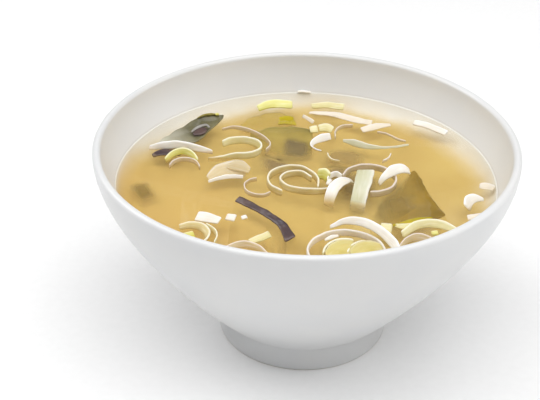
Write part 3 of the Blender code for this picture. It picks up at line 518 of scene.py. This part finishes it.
def in_broth(tree, output, dry, roughness, relief, sheer, clear_depth, fray=1.0, low_side=False):
    """Finishes a wet piece of food, whose colour and gloss are lost in the broth with depth, until
    the broth hides it. Sheer is how much shows through the piece itself, and a limp piece has a fray
    under 1, from where it melts away."""
    hidden = murk(tree, clear_depth)
    colour = add(tree, "Mix", {MIX_SHARE: hidden, MIX_FIRST: dry, MIX_SECOND: broth_colour_and_painted_light(tree)},
                 data_type="RGBA")
    rough = add(tree, "MapRange", {"Value": hidden, "From Max": DULLED, "To Min": roughness,
                                   "To Max": 0.95})
    shine = add(tree, "MapRange", {"Value": hidden, "From Max": SHINE_LOST, "To Min": 0.5, "To Max": 0.0})
    shader = add(tree, "BsdfPrincipled", {"Base Color": colour.outputs[MIX_RESULT],
                                          "Roughness": rough.outputs[0],
                                          "Specular IOR Level": shine.outputs[0],
                                          "Subsurface Weight": 0.15, "Subsurface Scale": 1.0 * MM,
                                          "Subsurface Radius": (1.0, 0.8, 0.5), "Normal": relief})
    gone = add(tree, "MapRange", {"Value": hidden, "From Min": FADES_FROM, "From Max": FADES_TO,
                                  "To Min": sheer})
    if fray < 1.0:
        gone = add(tree, "Math", {0: gone.outputs[0], 1: melted(tree, fray, low_side)},
                   operation="MAXIMUM")
    clear = add(tree, "BsdfTransparent")
    seen = add(tree, "MixShader", {0: gone.outputs[0], 1: shader.outputs["BSDF"], 2: clear.outputs[0]})
    tree.links.new(seen.outputs[0], output.inputs["Surface"])


def make_leek(name, low, high, rim, sheer, soaked=None):
    """Sliced leek, blanched: wet and faintly translucent, with fine veins along each layer, deeper in
    tone towards its lower edge and whitish towards its upper one, partly the sliced flesh and partly a
    painted highlight where light catches that edge. The map runs in millimetres along a strip, and
    from -1 at its lower edge to 1 at its upper one across it. An arching piece takes the soaked tone
    where it comes down to the broth."""
    made, tree, output = new_material(name)
    strip = add(tree, "UVMap", uv_map="Strip").outputs["UV"]
    place = add(tree, "TexCoord").outputs["Object"]
    drawn = add(tree, "Mapping", {"Vector": strip, "Scale": (0.12, 3.0, 1.0)})
    veins = add(tree, "TexNoise", {"Vector": drawn.outputs[0], "Scale": 1.0, "Detail": 2.0})
    patches = add(tree, "TexNoise", {"Vector": place, "Scale": blotches(6.67), "Detail": 2.0})
    across = add(tree, "SeparateXYZ", {"Vector": strip}).outputs["Y"]
    uneven = add(tree, "MapRange", {"Value": patches.outputs["Fac"], "From Min": 0.3, "From Max": 0.7,
                                    "To Min": -0.7, "To Max": 0.7})
    shifted = add(tree, "Math", {0: across, 1: uneven.outputs[0]}, operation="ADD")
    tone = add(tree, "MapRange", {"Value": shifted.outputs[0], "From Min": -1.0, "From Max": 1.0})
    flesh = add(tree, "Mix", {MIX_SHARE: tone.outputs[0], MIX_FIRST: linear(low),
                              MIX_SECOND: linear(high)}, data_type="RGBA")
    line = add(tree, "MapRange", {"Value": veins.outputs["Fac"], "From Min": 0.5, "From Max": 0.7,
                                  "To Max": 0.4})
    lined = add(tree, "Mix", {MIX_SHARE: line.outputs[0], MIX_FIRST: flesh.outputs[MIX_RESULT],
                              MIX_SECOND: linear(rim)}, data_type="RGBA")
    # Painted highlight: towards the upper edge the colour turns to the whitish third colour, partly the
    # sliced flesh and partly light catching that edge.
    cut = add(tree, "MapRange", {"Value": across, "From Min": 0.55, "From Max": 0.95})
    colour = add(tree, "Mix", {MIX_SHARE: cut.outputs[0], MIX_FIRST: lined.outputs[MIX_RESULT],
                               MIX_SECOND: linear(rim)}, data_type="RGBA")
    if soaked:
        height = add(tree, "SeparateXYZ", {"Vector": place}).outputs["Z"]
        wet = add(tree, "MapRange", {"Value": height, "From Min": (SOUP_LEVEL + SOAKED_TO) * MM,
                                     "From Max": SOUP_LEVEL * MM})
        colour = add(tree, "Mix", {MIX_SHARE: wet.outputs[0], MIX_FIRST: colour.outputs[MIX_RESULT],
                                   MIX_SECOND: linear(soaked)}, data_type="RGBA")
    relief = add(tree, "Bump", {"Height": veins.outputs["Fac"], "Strength": 0.5, "Distance": 0.1 * MM})
    in_broth(tree, output, colour.outputs[MIX_RESULT], 0.3, relief.outputs["Normal"], sheer,
             PIECE_MURK)
    return made


def make_wakame(name, dark, light, thin=None, fray=1.0, low_side=False):
    """Soaked wakame: thin, slippery kelp, dark where it is double and olive where light comes
    through, with a fine blistered skin. A blade may turn pale towards its left end: painted sheen
    off its wet skin, and the pale shallow broth near the wall that it sinks into."""
    made, tree, output = new_material(name)
    place = add(tree, "TexCoord").outputs["Object"]
    patches = add(tree, "TexNoise", {"Vector": place, "Scale": blotches(9.1), "Detail": 5.0,
                                     "Roughness": 0.6})
    colour = add(tree, "ValToRGB", {"Fac": patches.outputs["Fac"]},
                 stops=[(0.32, dark), (0.68, light)]).outputs["Color"]
    # Painted sheen: the blade turns pale towards its left end, for light off its wet skin and for the pale
    # shallow broth it sinks into.
    if thin:
        sheet = add(tree, "UVMap", uv_map="Sheet").outputs["UV"]
        along_it = add(tree, "SeparateXYZ", {"Vector": sheet}).outputs["X"]
        sheen_and_shore_share = add(tree, "MapRange", {"Value": along_it, "From Min": 0.0, "From Max": -0.9})
        mixed = add(tree, "Mix", {MIX_SHARE: sheen_and_shore_share.outputs[0], MIX_FIRST: colour,
                                  MIX_SECOND: linear(thin)}, data_type="RGBA")
        colour = mixed.outputs[MIX_RESULT]
    blisters = add(tree, "TexNoise", {"Vector": place, "Scale": blotches(1.67), "Detail": 2.0})
    relief = add(tree, "Bump", {"Height": blisters.outputs["Fac"], "Strength": 0.6,
                                "Distance": 0.25 * MM})
    in_broth(tree, output, colour, 0.25, relief.outputs["Normal"], 0.0, LEAF_MURK, fray, low_side)
    return made


def make_floor_paper():
    """A roll of matte white backdrop paper, with a barely visible fibre tone."""
    made, tree, output = new_material("white_backdrop_paper")
    place = add(tree, "TexCoord").outputs["Object"]
    fibres = add(tree, "TexNoise", {"Vector": place, "Scale": blotches(3.33), "Detail": 2.0})
    tone = add(tree, "ValToRGB", {"Fac": fibres.outputs["Fac"]}, stops=[(0.3, "F2F2F2"), (0.7, "F4F4F4")])
    shader = add(tree, "BsdfPrincipled", {"Base Color": tone.outputs["Color"], "Roughness": 0.9,
                                          "Specular IOR Level": 0.1})
    tree.links.new(shader.outputs["BSDF"], output.inputs["Surface"])
    return made


FINISHES = {
    "porcelain": make_porcelain(),
    "broth_depths": make_broth_depths(),
    "broth_film": make_broth_film(),
    # Each leek's third colour lines its veins and whitens its upper edge, where it is partly a painted
    # highlight.
    "leek_white": make_leek("sliced_leek_white", "E2DBCC", "F1EDE6", "FCFAF8", 0.04),
    "leek_cream": make_leek("sliced_leek_cream", "CAB474", "E0D19A", "F5EFDA", 0.12),
    "leek_lime": make_leek("sliced_leek_lime", "CCC456", "E6E290", "F5F3CA", 0.08),
    "leek_butter": make_leek("sliced_leek_heart", "DACE8C", "ECE5B6", "F9F6E0", 0.12),
    "leek_green": make_leek("sliced_leek_pale_green", "D0CEA8", "E0DFC8", "F0EEE2", 0.15),
    "leek_sheer": make_leek("sliced_leek_sheer", "DAC698", "E4D6B4", "F6EFE2", 0.5),
    "leek_amber": make_leek("sliced_leek_heart_soaked", "D8C66E", "E4D68E", "EDE4B8", 0.3),
    "leek_ribbon": make_leek("sliced_leek_ribbon", "EAE4D6", "F3F0EA", "FCFAF8", 0.04, "E2D0A2"),
    "leek_veil": make_leek("sliced_leek_membrane", "ECE0CA", "F6EEE2", "FCF8F4", 0.28),
    "leek_blush": make_leek("sliced_leek_outer_skin", "CCB686", "DACAA6", "F0E4DC", 0.2),
    # Its pale left end is painted sheen, with the pale shallow broth there.
    "wakame_green": make_wakame("soaked_wakame_green", "5C583E", "807A5A", thin="C4C0AC"),
    "wakame_pale": make_wakame("soaked_wakame_pale", "968440", "B8A250", fray=0.9),
    "wakame_olive": make_wakame("soaked_wakame_olive", "6A5204", "8A6C08", fray=-0.1, low_side=True),
    "wakame_folded": make_wakame("soaked_wakame_folded", "7E7436", "9C8E46", fray=0.3, low_side=True),
    "wakame_thin": make_wakame("soaked_wakame_thin", "7C7870", "9E9A94"),
    "wakame_lit": make_wakame("soaked_wakame_lit_edge", "A09008", "C4AE10"),
    "wakame_murky": make_wakame("sunk_wakame_brown", "443418", "5E4C26", fray=0.2),
    "wakame_plum": make_wakame("sunk_wakame_plum", "544846", "6C5C4E", fray=0.3),
    "wakame_slate": make_wakame("sunk_wakame_slate", "2C303A", "46463E", fray=0.4),
    "wakame_dark": make_wakame("soaked_wakame_dark", "40343A", "604C46"),
}


def new_piece(name, body, finish, *nodes):
    """An object at the origin from this bmesh, smooth, riding on the part's one body and standing
    for these nodes."""
    mesh = bpy.data.meshes.new(name)
    body.to_mesh(mesh)
    body.free()
    mesh.shade_smooth()
    mesh.materials.append(FINISHES[finish])
    piece = bpy.data.objects.new(name, mesh)
    bpy.context.scene.collection.objects.link(piece)
    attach(piece, "root")
    if nodes:
        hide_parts(*nodes)
    return piece


def smooth_routes(routes, spacing):
    """Catmull-Rom curves through the points of routes, read side by side about every spacing."""
    curves = []
    for route in routes:
        knots = [Vector(point) for point in route]
        curves.append([2 * knots[0] - knots[1]] + knots + [2 * knots[-1] - knots[-2]])
    found = [[] for _ in routes]
    for span in range(1, len(curves[0]) - 2):
        longest = max((knots[span + 1] - knots[span]).length for knots in curves)
        steps = max(1, round(longest / spacing))
        for line, knots in zip(found, curves):
            a, b, c, d = knots[span - 1:span + 3]
            for i in range(steps):
                t = i / steps
                line.append(
                    0.5 * (2 * b + (c - a) * t + (2 * a - 5 * b + 4 * c - d) * t**2
                           + (3 * b - a - 3 * c + d) * t**3)
                )
    for line, knots in zip(found, curves):
        line.append(knots[-2])
    return found


def strip_edges(route, widths, lean):
    """The two edges of a strip: its middle line moved half its width each way."""
    middle = smooth_routes([route], STATION)[0]
    tilt = math.radians(lean)
    low, high = [], []
    last = len(middle) - 1
    for at, place in enumerate(middle):
        ahead = middle[min(at + 1, last)] - middle[max(at - 1, 0)]
        left = Vector((-ahead.y, ahead.x, 0.0)).normalized()
        reach = math.cos(tilt) * Vector(UPWARDS) + math.sin(tilt) * left
        half_width = along(widths, at / last) / 2
        low.append(place - reach * half_width)
        high.append(place + reach * half_width)
    return low, high


def add_sheet(body, edges, rows, sag, bulge, wrinkle):
    """A surface between two edges that sags between them, its end bulging and all of it wrinkled,
    with one map in millimetres along it and from -1 to 1 across it, and one from -1 to 1 both ways."""
    low, high = edges
    last = len(low) - 1
    distance = [0.0]
    for at in range(last):
        step = (low[at + 1] + high[at + 1] - low[at] - high[at]).length / 2
        distance.append(distance[-1] + step)
    for title in ("Strip", "Sheet"):
        body.loops.layers.uv.new(title)
    strip_map, sheet_map = body.loops.layers.uv["Strip"], body.loops.layers.uv["Sheet"]
    made = bmesh.ops.create_grid(body, x_segments=last, y_segments=rows, size=0.5)["verts"]
    for corner in {loop for vertex in made for loop in vertex.link_loops}:
        at = round((corner.vert.co.x + 0.5) * last)
        corner[strip_map].uv = (distance[at], 2 * corner.vert.co.y)
        corner[sheet_map].uv = (2 * corner.vert.co.x, 2 * corner.vert.co.y)
    for vertex in made:
        share = vertex.co.x + 0.5
        across = 2 * vertex.co.y
        at = round(share * last)
        ahead = (high[min(at + 1, last)] + low[min(at + 1, last)]
                 - high[max(at - 1, 0)] - low[max(at - 1, 0)]).normalized()
        face = ahead.cross(high[at] - low[at]).normalized()
        middle = 1 - across**2
        place = low[at].lerp(high[at], (across + 1) / 2)
        place -= face * (sag * middle * math.sin(math.pi * share))
        place += ahead * (bulge * middle * share**2)
        place += wrinkle * noise.noise_vector(place * WRINKLES_PER_MM)
        vertex.co = (place + Vector((0.0, 0.0, SOUP_LEVEL))) * MM


def give_thickness(piece, thickness):
    """Makes an open surface a closed piece with rounded edges."""
    wall = piece.modifiers.new("Thickness", "SOLIDIFY")
    wall.thickness = thickness * MM
    wall.offset = 0.0
    wall.use_even_offset = True
    smooth = piece.modifiers.new("Soft edges", "SUBSURF")
    smooth.levels = 1
    smooth.render_levels = 1


def outer_wall(t):
    """Place and direction at t, from 0 at the foot to 1 at the rim, on the bowl's outer side."""
    foot = Vector((FOOT_RADIUS, FOOT_HEIGHT))
    rim = Vector((BOWL_RADIUS, BOWL_HEIGHT - RIM_WALL / 2))
    lean_foot = math.radians(WALL_LEAN_AT_FOOT)
    lean_rim = math.radians(WALL_LEAN_AT_RIM)
    a = foot
    b = foot + WALL_HANDLE_AT_FOOT * Vector((math.cos(lean_foot), math.sin(lean_foot)))
    c = rim - WALL_HANDLE_AT_RIM * Vector((math.cos(lean_rim), math.sin(lean_rim)))
    d = rim
    place = (1 - t)**3 * a + 3 * (1 - t)**2 * t * b + 3 * (1 - t) * t**2 * c + t**3 * d
    ahead = 3 * (1 - t)**2 * (b - a) + 6 * (1 - t) * t * (c - b) + 3 * t**2 * (d - c)
    return place, ahead.normalized()


def inner_wall(t, clear=0.0):
    """The place on the inner side opposite outer_wall(t), or that far clear of it."""
    place, ahead = outer_wall(t)
    wall = FLOOR_WALL + (RIM_WALL - FLOOR_WALL) * t + clear
    return place + wall * Vector((-ahead.y, ahead.x))


def inner_floor(clear=0.0):
    """Points from the axis out to the foot of the inner wall."""
    edge = inner_wall(0.0, clear)
    slope = outer_wall(0.0)[1]
    middle = RECESS_DEPTH + FLOOR_WALL + clear
    a, b, c, d = Vector((0.0, middle)), Vector((edge.x * 0.55, middle)), edge - 2.6 * slope, edge
    found = []
    for i in range(FLOOR_STEPS):
        t = i / FLOOR_STEPS
        found.append((1 - t)**3 * a + 3 * (1 - t)**2 * t * b + 3 * (1 - t) * t**2 * c + t**3 * d)
    return found


def wall_at_level(height, clear):
    """The t at which the inner wall, that far cleared, passes this height."""
    low, high = 0.0, 1.0
    for _ in range(40):
        t = (low + high) / 2
        if inner_wall(t, clear).y < height:
            low = t
        else:
            high = t
    return low


def wall_between(first, second, clear):
    """Points along the cleared inner wall from one height to another."""
    a, b = wall_at_level(first, clear), wall_at_level(second, clear)
    steps = max(2, round(abs(b - a) * WALL_STEPS))
    return [inner_wall(a + (b - a) * i / steps, clear) for i in range(steps + 1)]


def bowl_profile():
    """Up the inside, over the round lip, down the outside and round the foot to the axis."""
    inside = inner_floor() + [inner_wall(i / WALL_STEPS) for i in range(WALL_STEPS + 1)]
    outside = [outer_wall(1 - i / WALL_STEPS)[0] for i in range(WALL_STEPS + 1)]
    lip_middle = (inside[-1] + outside[0]) / 2
    lip = []
    for i in range(1, LIP_STEPS):
        angle = math.pi * (1 - i / LIP_STEPS)
        lip.append(lip_middle + RIM_WALL / 2 * Vector((math.cos(angle), math.sin(angle))))
    foot_radius = FOOT_RADIUS - FOOT_FLARE
    ring_radius = foot_radius - FOOT_RING_WIDTH
    foot = [
        Vector((foot_radius, FOOT_ROUNDING)),
        Vector((foot_radius - FOOT_ROUNDING * 0.3, FOOT_ROUNDING * 0.3)),
        Vector((foot_radius - FOOT_ROUNDING, 0.0)),
        Vector((ring_radius + FOOT_ROUNDING, 0.0)),
        Vector((ring_radius + FOOT_ROUNDING * 0.3, FOOT_ROUNDING * 0.3)),
        Vector((ring_radius, FOOT_ROUNDING)),
        Vector((ring_radius - 0.6, RECESS_DEPTH - 1.8)),
        Vector((ring_radius - 1.1, RECESS_DEPTH - 0.7)),
        Vector((ring_radius - 2.4, RECESS_DEPTH)),
        Vector((0.0, RECESS_DEPTH)),
    ]
    return inside + lip + outside + foot


def film_profile():
    """The broth's film: level, curling up where it meets the wall and reaching into it."""
    edge = inner_wall(wall_at_level(SOUP_LEVEL, 0.0), 0.0).x
    top = [Vector((0.0, SOUP_LEVEL))]
    for i in range(9):
        share = i / 8
        x = edge - MENISCUS_REACH * (1 - share)
        top.append(Vector((x, SOUP_LEVEL + MENISCUS_HEIGHT * share**3)))
    into = edge + INTO_WALL
    top.append(Vector((into, SOUP_LEVEL + MENISCUS_HEIGHT)))
    return top + [Vector((into, SOUP_LEVEL - FILM_DEPTH)), Vector((0.0, SOUP_LEVEL - FILM_DEPTH))]


def depths_profile():
    """The cloudy broth under the film: a skin down the wall that turns into a level bed, and the
    whole of the bowl's inside below them."""
    top = SOUP_LEVEL - FILM_DEPTH / 2
    bed = SOUP_LEVEL - MURK_FLOOR
    down = wall_between(top, bed + MURK_FILLET, SKIN)
    a = down[-1]
    slope = a - down[-2]
    b = a + slope * ((bed - a.y) / slope.y)
    c = Vector((b.x - MURK_FILLET, bed))
    turn = [(1 - t)**2 * a + 2 * (1 - t) * t * b + t**2 * c for t in (i / 8 for i in range(1, 9))]
    under = wall_between(top, inner_wall(0.0, -INTO_WALL).y, -INTO_WALL)
    return [Vector((0.0, bed))] + turn[::-1] + down[::-1] + under + inner_floor(-INTO_WALL)[::-1]


def turned(profile):
    """A profile in the XZ plane, turned once round the axis."""
    body = bmesh.new()
    corners = [body.verts.new((point.x * MM, 0.0, point.y * MM)) for point in profile]
    edges = [body.edges.new(pair) for pair in zip(corners, corners[1:])]
    bmesh.ops.spin(body, geom=corners + edges, cent=ORIGIN, axis=UPWARDS, angle=2 * math.pi,
                   steps=TURN_STEPS, use_merge=True)
    bmesh.ops.remove_doubles(body, verts=body.verts, dist=0.002 * MM)
    bmesh.ops.recalc_face_normals(body, faces=body.faces)
    return body


def make_bowl_and_broth():
    new_piece("bowl_glazed", turned(bowl_profile()), "porcelain", "bowl")
    new_piece("soup_depths", turned(depths_profile()), "broth_depths", "soup")
    new_piece("soup_film", turned(film_profile()), "broth_film", "soup")


def make_strip(name, finish, thickness, widths, lean, route, *nodes):
    """A strip, curl or ring of leek or wakame along its route."""
    body = bmesh.new()
    add_sheet(body, strip_edges(route, widths, lean), STRIP_ROWS, 0.0, 0.0, STRIP_WRINKLE)
    give_thickness(new_piece(name, body, finish, *nodes), thickness)


def make_leaf(name, finish, sag, bulge, low, high, *nodes):
    """A broad piece between its two edges. Wakame is limp and settles, but for the one green leaf
    that arches out of the broth."""
    body = bmesh.new()
    add_sheet(body, smooth_routes([low, high], LEAF_STATION), LEAF_ROWS, sag, bulge, LEAF_WRINKLE)
    limp = finish.startswith("wakame") and finish != "wakame_green"
    if limp:
        bmesh.ops.translate(body, vec=(0.0, 0.0, -LEAF_SUNK * MM), verts=body.verts)
    piece = new_piece(name, body, finish, *nodes)
    give_thickness(piece, WAKAME_THICKNESS)
    # Cloudy broth scatters the light round what is sunk in it, so that throws no shadow there.
    piece.visible_shadow = not limp


def make_garnish():
    """Everything that floats: what stands for the part's nodes, then the smaller pieces."""
    for name, *shape in LEEK + [WAKAME_STRIP]:
        make_strip(f"{name}_cut", *shape, name)
    for name, *shape in WAKAME:
        make_leaf(f"{name}_soaked", *shape, name)
    for shape in CUTTINGS:
        make_strip(*shape)
    for shape in SHEETS:
        make_leaf(*shape)


def make_floor():
    body = bmesh.new()
    bmesh.ops.create_grid(body, x_segments=1, y_segments=1, size=FLOOR_REACH)
    mesh = bpy.data.meshes.new("floor")
    body.to_mesh(mesh)
    body.free()
    mesh.materials.append(make_floor_paper())
    floor = bpy.data.objects.new("floor", mesh)
    bpy.context.scene.collection.objects.link(floor)


def make_light():
    """A dim white sky, and square lamps as wide as soft boxes."""
    world = bpy.data.worlds.new("studio")
    world.use_nodes = True
    sky = world.node_tree.nodes["Background"]
    sky.inputs["Color"].default_value = linear("FFFFFF")
    sky.inputs["Strength"].default_value = SKY_STRENGTH
    bpy.context.scene.world = world
    for name, place, size, power in LAMPS:
        light = bpy.data.lights.new(name, "AREA")
        light.size = size
        light.energy = power
        lamp = bpy.data.objects.new(name, light)
        lamp.location = place
        lamp.rotation_euler = (Vector(LAMPS_AIM) - Vector(place)).to_track_quat("-Z", "Y").to_euler()
        bpy.context.scene.collection.objects.link(lamp)


def make_camera():
    """Looks down at the middle of the bowl's mouth from the near side, turned a little off it."""
    lens = bpy.data.cameras.new("camera")
    lens.lens = FOCAL_LENGTH
    lens.sensor_width = SENSOR_WIDTH
    camera = bpy.data.objects.new("camera", lens)
    elevation = math.radians(CAMERA_ELEVATION)
    place = Vector((0.0, -CAMERA_DISTANCE * math.cos(elevation),
                    BOWL_HEIGHT * MM + CAMERA_DISTANCE * math.sin(elevation)))
    turn = Matrix.Rotation(math.radians(90.0) - elevation, 4, "X")
    for angle, axis in CAMERA_TURNS:
        turn = turn @ Matrix.Rotation(math.radians(angle), 4, axis)
    camera.matrix_world = Matrix.Translation(place) @ turn
    bpy.context.scene.collection.objects.link(camera)
    bpy.context.scene.camera = camera
    bpy.context.scene.view_settings.view_transform = "Standard"


noise.seed_set(WRINKLE_SEED)
make_bowl_and_broth()
make_garnish()
make_floor()
make_light()
make_camera()
